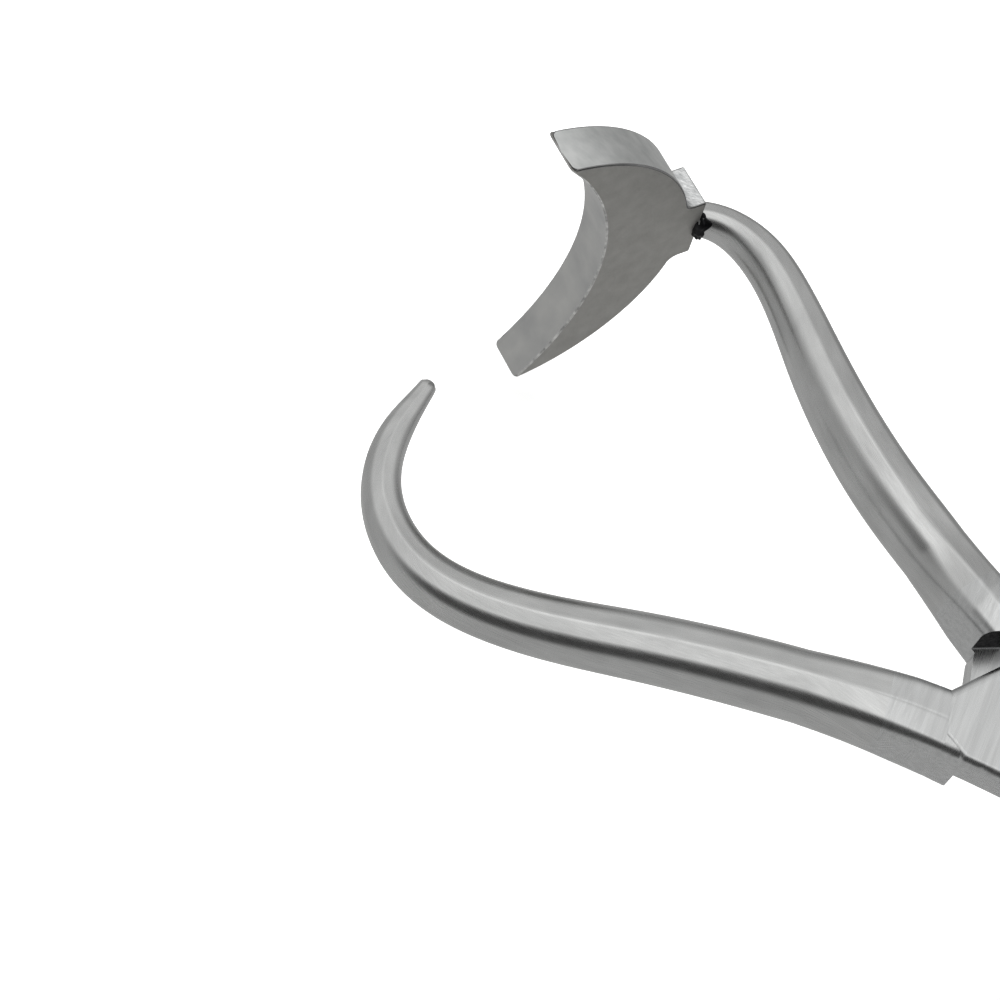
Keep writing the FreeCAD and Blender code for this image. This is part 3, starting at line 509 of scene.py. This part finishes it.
def arm_skin(name, stations, start, near, corners):
    """The skin of an arm over its stations, from a distance along it to its end.

    Each point of the section is set out across the arm and up from its middle plane, and
    moved outward by the lift. The near face is above for +1, and for -1 below, where the
    arm is turned over about X. Its two corners, toward -Y and toward +Y, have their own
    shapes, and the back has plain ones. The first stretch has the cross-brushed finish of
    the joint, and the rest is satin.
    """
    table = np.asarray(stations, float)
    knots = np.concatenate([[0], np.cumsum(np.hypot(*np.diff(table[:, :2], axis=0).T))])
    marks = np.linspace(start, knots[-1], SKIN_ROWS)
    place = smooth(knots, table[:, :2], marks)
    ahead = np.gradient(place, marks, axis=0)
    ahead /= np.linalg.norm(ahead, axis=1)[:, None]
    width, above, below = smooth(knots, table[:, 2:5], marks).T
    soft = np.stack([np.interp(marks, knots, table[:, k]) for k in (5, 6)])
    top, bottom = (corners, (PLAIN, PLAIN)) if near > 0 else ((PLAIN, PLAIN), corners)
    upper = quarter(width, above, soft[0], top[1])
    lower = quarter(width, below, soft[1], bottom[0])
    under = quarter(width, below, soft[1], bottom[1])
    back = quarter(width, above, soft[0], top[0])
    ring = np.concatenate([
        upper, lower[:, ::-1] * (1, -1), under[:, 1:] * (-1, -1), back[:, :0:-1] * (-1, 1),
    ], axis=1)
    along = np.roll(ring, -1, axis=1) - np.roll(ring, 1, axis=1)
    outward = np.stack([-along[..., 1], along[..., 0]], axis=-1)
    outward /= np.linalg.norm(outward, axis=-1, keepdims=True)
    rise = LIFT * np.clip((marks - start) / LIFT_RUN, 0, 1)[:, None, None]
    ring = ring + outward * rise
    across = np.stack([ahead[:, 1], -ahead[:, 0]], axis=-1)
    points = np.empty((*ring.shape[:2], 3))
    points[..., :2] = place[:, None, :] + across[:, None, :] * ring[..., :1]
    points[..., 2] = ring[..., 1]
    points[..., 1:] *= near
    points[..., 2] += MIDDLE
    whole = np.concatenate([ring, ring[:, :1]], axis=1)
    grain = np.zeros((len(marks), ring.shape[1] + 1, 2))
    grain[..., 0] = marks[:, None]
    grain[:, 1:, 1] = np.cumsum(np.linalg.norm(np.diff(whole, axis=1), axis=-1), axis=1)
    piece = surface(name, points * MM, closed=True, grain=grain * MM)
    piece.data.materials.append(satin)
    piece.data.materials.append(ground)
    beside_joint = np.repeat(marks[:-1] < GROUND_END, ring.shape[1])
    piece.data.polygons.foreach_set("material_index", beside_joint.astype(int))
    print(name, len(piece.data.polygons), "faces")
    return piece


SKIN_START = 5.0  # distance along an arm, from its root, where its skin starts, mm
hook_skin = arm_skin("hook_arm_skin", HOOK, SKIN_START, 1, HOOK_CORNERS)
crescent_skin = arm_skin("crescent_arm_skin", CRESCENT, SKIN_START, -1, CRESCENT_CORNERS)

# %% [markdown]
# ## Trimming the skins
# In the joint each half is cut back to a shoulder wall, so that the other half can lie in
# it. A skin has to stop at the same wall. The skin of the crescent arm also stops at the
# lug. Rather than shaping the grid for it, the finished mesh is sliced with a plane, and
# the faces that lie beyond the plane are removed, at a wall only on one side of the
# joint's middle.

# %% Slice and clear
SAME = 1e-7  # points closer together than this count as one, m


def trim(piece, normal, reach, level=None, above=True, past=None):
    """Removes the faces of a skin on the joint's side of an upright plane.

    The plane's points are at a reach along the normal. With a level, only the faces above
    it, or below it, are removed. With past, only faces whose x is under it are. In mm.
    """
    cut = bmesh.new()
    cut.from_mesh(piece.data)
    side = Vector((normal[0], normal[1], 0)).normalized()
    slices = [(side * reach * MM, side)]
    if level is not None:
        slices.append((Vector((0, 0, level * MM)), Vector((0, 0, 1))))
    for place, direction in slices:
        everything = cut.verts[:] + cut.edges[:] + cut.faces[:]
        bmesh.ops.bisect_plane(
            cut, geom=everything, plane_co=place, plane_no=direction, dist=SAME,
        )
    gone = []
    for face in cut.faces:
        middle = face.calc_center_median()
        outside = middle.dot(side) < reach * MM and (past is None or middle.x < past * MM)
        if outside and (level is None or (middle.z > level * MM) == above):
            gone.append(face)
    bmesh.ops.delete(cut, geom=gone, context="FACES")
    cut.to_mesh(piece.data)
    cut.free()
    print(piece.name, "lost", len(gone), "faces")


# %% Trim at the walls and at the lug
WALL = math.radians(131.9)  # direction from the joint's axis square to a shoulder wall
WALL_REACH = 13.84  # distance of the walls from the joint's axis, mm
LUG = math.radians(64.2)  # direction in which the crescent's lug points
JAW_PLACE = (-80.7, 8.0)  # centre of the crescent's outer arc, mm
LUG_BACK = 22.6  # distance from there to the back of the solid's lug, mm
BITE = 0.05  # how far the skin runs into the lug, mm
JAW_SIDE = -55  # x past which the crescent arm can meet the lug, mm
hook_wall = (math.cos(WALL), -math.sin(WALL))
crescent_wall = (math.cos(WALL), math.sin(WALL))
lug_line = (math.cos(LUG), math.sin(LUG))
lug_reach = np.dot(JAW_PLACE, lug_line) + LUG_BACK
trim(hook_skin, hook_wall, WALL_REACH, MIDDLE, above=False)
trim(crescent_skin, crescent_wall, WALL_REACH, MIDDLE)
trim(crescent_skin, lug_line, lug_reach - BITE, past=JAW_SIDE)
for skin, body in ((hook_skin, "hook_half"), (crescent_skin, "crescent_half")):
    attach(skin, body)

# %% [markdown]
# ## Shoulder walls
# Behind the edge of the other half, the shoulder wall of the crescent half shows as a
# small black dome: it lies in the shade of the dark gap that it looks at. The meshes of
# the model are left as they are, so those faces don't get a finish of their own, and a
# thin dark sheet of painted shade stands on the wall instead, as on the hook half's wall
# below. Its upper edge is the cut edge of the skin, read from the skin's own vertices,
# and each point of the sheet lies between that edge and a straight foot just over the flat.

# %% Paint shade on the walls
FOOT = 0.3  # height of a sheet's foot over the middle plane, mm
STAND_OFF = 0.04  # distance from a sheet to its wall, mm
ON_WALL = 1e-3  # a vertex this close to the wall's plane lies on it, mm


def wall_shade(name, skin, normal, side, body):
    """A sheet of painted shade on a shoulder wall, between the cut edge of a skin and a
    straight foot.

    A point is the foot plus a share of the way to the edge. The side is +1 for a wall
    above the middle plane and -1 for one below.
    """
    corners = np.empty(len(skin.data.vertices) * 3)
    skin.data.vertices.foreach_get("co", corners)
    corners = corners.reshape(-1, 3) / MM
    height = (corners[:, 2] - MIDDLE) * side
    on = (np.abs(corners[:, :2] @ normal - WALL_REACH) < ON_WALL) & (height > FOOT)
    along = np.array([-normal[1], normal[0]])
    across = corners[on, :2] @ along
    order = np.argsort(across)
    across, top = across[order], height[on][order]
    share = np.linspace(0, 1, 8)[:, None]
    rise = FOOT + (top - FOOT)[None, :] * share
    points = np.empty((*rise.shape, 3))
    points[..., :2] = np.asarray(normal) * (WALL_REACH - STAND_OFF)
    points[..., :2] += along * across[None, :, None]
    points[..., 2] = MIDDLE + side * rise
    piece = surface(name, points[:, ::-side] * MM)
    piece.data.materials.append(dark)
    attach(piece, body)
    print(name, "is", round(float(np.ptp(across)), 2), "mm wide")


wall_shade("crescent_wall_shade", crescent_skin, crescent_wall, 1, "crescent_half")
wall_shade("hook_wall_shade", hook_skin, hook_wall, -1, "hook_half")

# %% [markdown]
# ## Crescent plate
# The crescent is cut from plate: two flat faces, a curved band outside, a hollow that meets
# the bone, and a square lug. Its rims are broken by hand, so each draws a thin line of
# light or dark that a sharp-edged solid can't show. Their finishes add painted shade to
# the outer rims and painted highlights to the inner rims. The faces are blasted, and the
# band and the hollow are smoother. A bevel modifier could round the rims of the solid, but
# in one grid each stretch of the section has its own place and takes its own finish. Its
# rows follow the outline from tip to tip, and each row is a closed ring: up the band, over
# the rim, across the near face, over the rim, down the hollow, and the same way back on
# the far side.

# %% Outline of the crescent
# The crescent has its own place and three directions: along the lug, up, and toward the
# near face. Its outline is drawn in the first two, from the centre of the outer arc.
JAW = np.array([*JAW_PLACE, MIDDLE])
LUG_WAY = np.array([*lug_line, 0.0])
UP_WAY = np.array([0.0, 0.0, 1.0])
NEAR_WAY = np.array([lug_line[1], -lug_line[0], 0.0])
BAND_RADIUS, HOLLOW_RADIUS, HOLLOW_DEPTH = 21.0, 32.0, 10.4  # the two arcs, mm
TIP_HALF, THICK_HALF = 20.77, 2.7  # half the span of the tips, half the thickness, mm
LUG_END, LUG_HALF, FLANK_END = 22.95, 4.8, 21.405  # the lug and its straight flank, mm
FILLET_CORNER, FILLET_END = (20.41, 4.95), (20.21, 5.7)  # from the flank to the band, mm
LUG_BENDS = (  # the lug's upper half: first point, corner, last point, number of points
    ((LUG_END, 0.0), (LUG_END, 2.0), (LUG_END, 4.3), 6),
    ((LUG_END, 4.45), (LUG_END, LUG_HALF), (LUG_END - 0.35, LUG_HALF), 6),
    ((LUG_END - 0.5, LUG_HALF), (21.9, LUG_HALF), (FLANK_END, LUG_HALF), 4),
)


def bend(first, corner, last, count):
    """A curve from first to last that heads for the corner at first and from it at last."""
    first, corner, last = (np.asarray(point, float) for point in (first, corner, last))
    share = np.linspace(0, 1, count)[:, None]
    return (1 - share) ** 2 * first + 2 * share * (1 - share) * corner + share**2 * last


def band_outline():
    """The outer outline, mirrored from its upper half: the lug, a fillet, and the arc.

    The arc's angle grows as the sine of a quarter turn, so that its points crowd together
    toward the tip.
    """
    low, high = np.arcsin(FILLET_END[1] / BAND_RADIUS), np.arcsin(TIP_HALF / BAND_RADIUS)
    angle = low + (high - low) * np.sin(np.linspace(0, math.pi / 2, 64)[1:])
    upper = np.concatenate([
        *(bend(*row) for row in LUG_BENDS),
        bend((FLANK_END, LUG_HALF), FILLET_CORNER, FILLET_END, 8)[1:],
        BAND_RADIUS * np.stack([np.cos(angle), np.sin(angle)], axis=-1),
    ])
    return np.concatenate([upper[:0:-1] * (1, -1), upper])


def hollow_outline(share):
    """The hollow's arc from tip to tip, at shares of its length."""
    angle = np.arcsin(TIP_HALF / HOLLOW_RADIUS) * (2 * share - 1)
    centre = HOLLOW_DEPTH - HOLLOW_RADIUS
    arc = [centre + HOLLOW_RADIUS * np.cos(angle), HOLLOW_RADIUS * np.sin(angle)]
    return np.stack(arc, axis=-1)


outside = band_outline()
steps = np.linalg.norm(np.diff(outside, axis=0), axis=1)
length = np.concatenate([[0], np.cumsum(steps)])
inside = hollow_outline(length / length[-1])
print("the crescent's outline is", round(float(length[-1]), 1), "mm long")

# %% Points of the crescent
RIM, TIP_ROUND = 0.2, 0.7  # radius of the broken rims, and of the tips' corners, mm
RIM_LIMIT = 0.4  # a rim's radius is at most this share of the plate's width
RIM_COLUMNS = 7  # columns round each rim
SHOULDER = 1.3  # distance of the columns beside a rim from the edge, in rim radii


def inward(line, turn):
    """Unit directions in the plane, square to a line, turned to one side of it."""
    along = np.gradient(line, axis=0)
    along /= np.linalg.norm(along, axis=1)[:, None]
    return np.stack([-along[:, 1], along[:, 0]], axis=-1) * turn


def capped(points):
    """A grid with one more row at each end, all of it at the mean of the end row."""
    poles = points[[0, -1]].mean(axis=1, keepdims=True).repeat(points.shape[1], axis=1)
    return np.concatenate([poles[:1], points, poles[1:]])


def crescent_points():
    """Points of the crescent, rows along its outline and columns round its section.

    A point is a share of the way from the outer to the inner outline, moved into the
    plate by its inset, at a height of half the thickness less its drop. Along a rim
    inset and drop are the rim radius times 1 - cos and 1 - sin of an angle. Close to a
    tip the thickness shrinks along a quarter of a circle, which rounds the tip's corners.
    """
    radius = np.minimum(RIM, RIM_LIMIT * np.linalg.norm(outside - inside, axis=1))[:, None]
    angle = np.radians(np.linspace(0, 90, RIM_COLUMNS))
    half = np.concatenate([[0, 0], 1 - np.cos(angle), [SHOULDER]])
    inset = np.concatenate([half, [0.0], half[::-1]])
    share = np.repeat([0.0, 0.5, 1.0], [len(half), 1, len(half)])
    half = np.concatenate([[0, SHOULDER], 1 - np.sin(angle), [0]])
    drop = np.concatenate([half, [0.0], half[::-1]])
    level = np.ones(len(share))
    level[[0, -1]] = 0.0
    share, inset, drop, level = (
        np.concatenate([near, far[-2:0:-1]])
        for near, far in ((share, share), (inset, inset), (drop, drop), (level, -level))
    )
    outer, inner = (1 - share)[None, :, None], share[None, :, None]
    flat = outer * outside[:, None] + inner * inside[:, None]
    way = outer * inward(outside, 1)[:, None]
    way = way + inner * inward(inside, -1)[:, None]
    flat = flat + way * (inset * radius)[..., None]
    to_tip = 1 - np.minimum(length, length[-1] - length) / TIP_ROUND
    to_tip = np.clip(to_tip, 0, 1)[:, None]
    shrink = TIP_ROUND * (1 - np.sqrt(1 - to_tip**2))
    thick = level * (THICK_HALF - shrink - drop * radius)
    points = JAW + flat[..., :1] * LUG_WAY + flat[..., 1:] * UP_WAY
    return capped(points + thick[..., None] * NEAR_WAY) * MM


crescent_grid = crescent_points()
print("the crescent's grid has", crescent_grid.shape[:2], "rows and columns")

# %% Build the crescent
FLANK_RANGE, FLANK_START = (4.4, 5.6), 20.3  # where the lug's flanks are filed, mm


def close_poles(piece):
    """Merges points at one place and turns every face outward."""
    shell = bmesh.new()
    shell.from_mesh(piece.data)
    bmesh.ops.remove_doubles(shell, verts=shell.verts, dist=SAME)
    bmesh.ops.recalc_face_normals(shell, faces=shell.faces)
    shell.to_mesh(piece.data)
    shell.free()


crescent = surface("crescent_plate", crescent_grid, closed=True)
for material in (band, edge, blasted, rim_glint, hollow, filed):
    crescent.data.materials.append(material)
# Faces across half a section: band, outer rim with painted shade, blasted face,
# inner rim with painted highlights, hollow.
section = np.repeat([0, 1, 2, 3, 4], [2, RIM_COLUMNS - 1, 4, RIM_COLUMNS - 1, 2])
finishes = np.tile(np.concatenate([section, section[::-1]]), (len(outside) + 1, 1))
from_middle = np.abs(outside[:, 1])
flank = (from_middle > FLANK_RANGE[0]) & (from_middle < FLANK_RANGE[1])
flank = np.concatenate([[False], flank & (outside[:, 0] > FLANK_START)])
finishes[flank] = np.where(finishes[flank] == 0, 5, finishes[flank])
crescent.data.polygons.foreach_set("material_index", finishes.reshape(-1))
close_poles(crescent)
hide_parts("crescent_jaw")
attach(crescent, "crescent_half")
print("crescent_plate", len(crescent.data.polygons), "faces")

# %% [markdown]
# ## Weld
# The lug is held to the tip of the arm by a weld that was never cleaned. It is a thin dark
# collar round the end of the arm, against the back of the lug, and at the near corner it
# grows into a lump. A few metaballs would melt together in the same way, but their size is
# hard to set. So the surface is a ball pressed flat against the lug. Three waves of
# different length make it uneven, and one bulge makes the lump.

# %% Build the weld
WELD = np.array([-69.2, 27.5, MIDDLE]) + 0.4 * LUG_WAY  # middle of the weld, mm
COLLAR = (2.0, 0.85, 1.95)  # half size of the ball across, along and up, mm
WAVES = (0.035, 0.04, 0.03)  # heights of the waves, as shares of the half size
PITCHES = (9, 11, 13)  # how closely the waves follow each other
LUMP_WAY = np.array([0.62, 0.30, 0.72])  # direction of the lump
LUMP = (0.25, 0.6, 0.3)  # size of the lump across, along and up, mm
LUMP_SPREAD, LUMP_WAVES = 0.14, 6  # how wide the lump is, and how rough


def weld_points():
    """A flat ball, across, along and up from the weld's middle.

    Its radius is 1 plus three sine waves of the direction. The bulge is the lump's size
    times e to a power that falls with the turn away from the lump's direction: minus the
    part by which its cosine is under 1, over the spread.
    """
    polar = np.linspace(0, math.pi, 49)[:, None]
    turn = np.linspace(0, 2 * math.pi, 80, endpoint=False)[None, :]
    way = np.stack([np.sin(polar) * np.cos(turn), np.sin(polar) * np.sin(turn),
                    np.cos(polar) + 0 * turn], axis=-1)
    x, y, z = way[..., 0], way[..., 1], way[..., 2]
    waves = WAVES[0] * np.sin(PITCHES[0] * x + 1) + WAVES[1] * np.sin(PITCHES[1] * z + 2)
    waves = waves + WAVES[2] * np.sin(PITCHES[2] * y + PITCHES[0] * x)
    bulge = np.exp(-(1 - way @ LUMP_WAY) / LUMP_SPREAD) * (1 + LUMP_WAVES * waves)
    local = way * COLLAR * (1 + waves)[..., None] + bulge[..., None] * LUMP
    return (WELD + local @ np.stack([NEAR_WAY, LUG_WAY, UP_WAY])) * MM


weld = surface("weld_blob", weld_points(), closed=True)
close_poles(weld)
weld.data.materials.append(dark)
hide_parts("weld_bead")
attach(weld, "crescent_half")
print("weld_blob", len(weld.data.polygons), "faces")

# %% [markdown]
# ## Spindle thread
# The nut of a speed lock travels fast, so its spindle has a steep thread of several starts,
# side by side. A thread could be made with a screw modifier, but as a formula it is one
# line: the radius goes up and down with the distance along the axis less the turn, times
# the lead. The crests and roots are flat, so the wave is clipped. The eye of the spindle is
# a turned ring about the pin.

# %% Points of the spindle
LOCK_REACH, HANDLE_ANGLE = 98, math.radians(14)  # place of the pin from the joint, mm
PIN = np.array([LOCK_REACH * math.cos(HANDLE_ANGLE), LOCK_REACH * math.sin(HANDLE_ANGLE),
                MIDDLE])
LEAD, STARTS = 6.0, 4  # travel of the thread in one turn, mm, and how many run side by side
DEPTH, STEEPNESS = 0.17, 1.7  # half the thread's depth, mm, and how much is clipped flat
FADE = 1.5  # length over which the thread runs out, mm
NECK_LAG, STOP_LAG = 0.8, 1  # plain stretches beside the neck and the stop, mm
NECK_RADIUS, MEAN_RADIUS, NECK_STEP = 1.92, 2.32, 0.6  # plain neck, thread and step, mm
ROD_START, NECK_END, ROD_END = 2.9, 6.5, 84.4  # distances from the pin, mm
EYE_PROFILE = np.array([  # section of the eye: distance from the pin's axis, and height, mm
    (1.68, -1.7), (1.95, -1.95), (3.2, -1.95), (3.5, -1.65), (3.55, -1.3),
    (3.55, 1.3), (3.5, 1.65), (3.2, 1.95), (1.95, 1.95), (1.68, 1.7),
])


def thread_points():
    """Points about the line from the pin toward -Y, rows along it, columns round it.

    The radius is a mean plus a clipped sine of the starts times (distance / lead - turn).
    The wave fades out toward the plain neck and toward the stop.
    """
    run = np.linspace(ROD_START, ROD_END, 620)[:, None]
    turn = np.linspace(0, 1, 40, endpoint=False)[None, :]
    wave = np.sin(2 * math.pi * STARTS * (run / LEAD - turn))
    wave = np.clip(STEEPNESS * wave, -1, 1)
    fade = np.clip((run - NECK_END - NECK_LAG) / FADE, 0, 1)
    fade = fade * np.clip((ROD_END - STOP_LAG - run) / FADE, 0, 1)
    mean = np.interp(run, [ROD_START, NECK_END, NECK_END + NECK_STEP],
                     [NECK_RADIUS, NECK_RADIUS, MEAN_RADIUS])
    radius = mean + DEPTH * wave * fade
    points = np.empty((*radius.shape, 3))
    points[..., 0] = PIN[0] + radius * np.cos(2 * math.pi * turn)
    points[..., 1] = PIN[1] - run
    points[..., 2] = PIN[2] + radius * np.sin(2 * math.pi * turn)
    return capped(points) * MM


def eye_points():
    """A ring about the pin: a rectangle with cut corners, turned once round."""
    radius, height = EYE_PROFILE.T
    turn = np.linspace(0, 2 * math.pi, 73)[:, None]
    points = np.stack([PIN[0] + radius * np.cos(turn), PIN[1] + radius * np.sin(turn),
                       PIN[2] + height + 0 * turn], axis=-1)
    return points * MM


thread_grid, eye_grid = thread_points(), eye_points()
print("thread and eye have", thread_grid.shape[:2], "and", eye_grid.shape[:2])

# %% Build the spindle
thread = surface("spindle_thread", thread_grid, closed=True)
eye = surface("spindle_eye", eye_grid, closed=True)
for piece in (thread, eye):
    close_poles(piece)
    piece.data.materials.append(polished)
    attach(piece, "lock_spindle")
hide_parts("spindle")
print("spindle", len(thread.data.polygons) + len(eye.data.polygons), "faces")
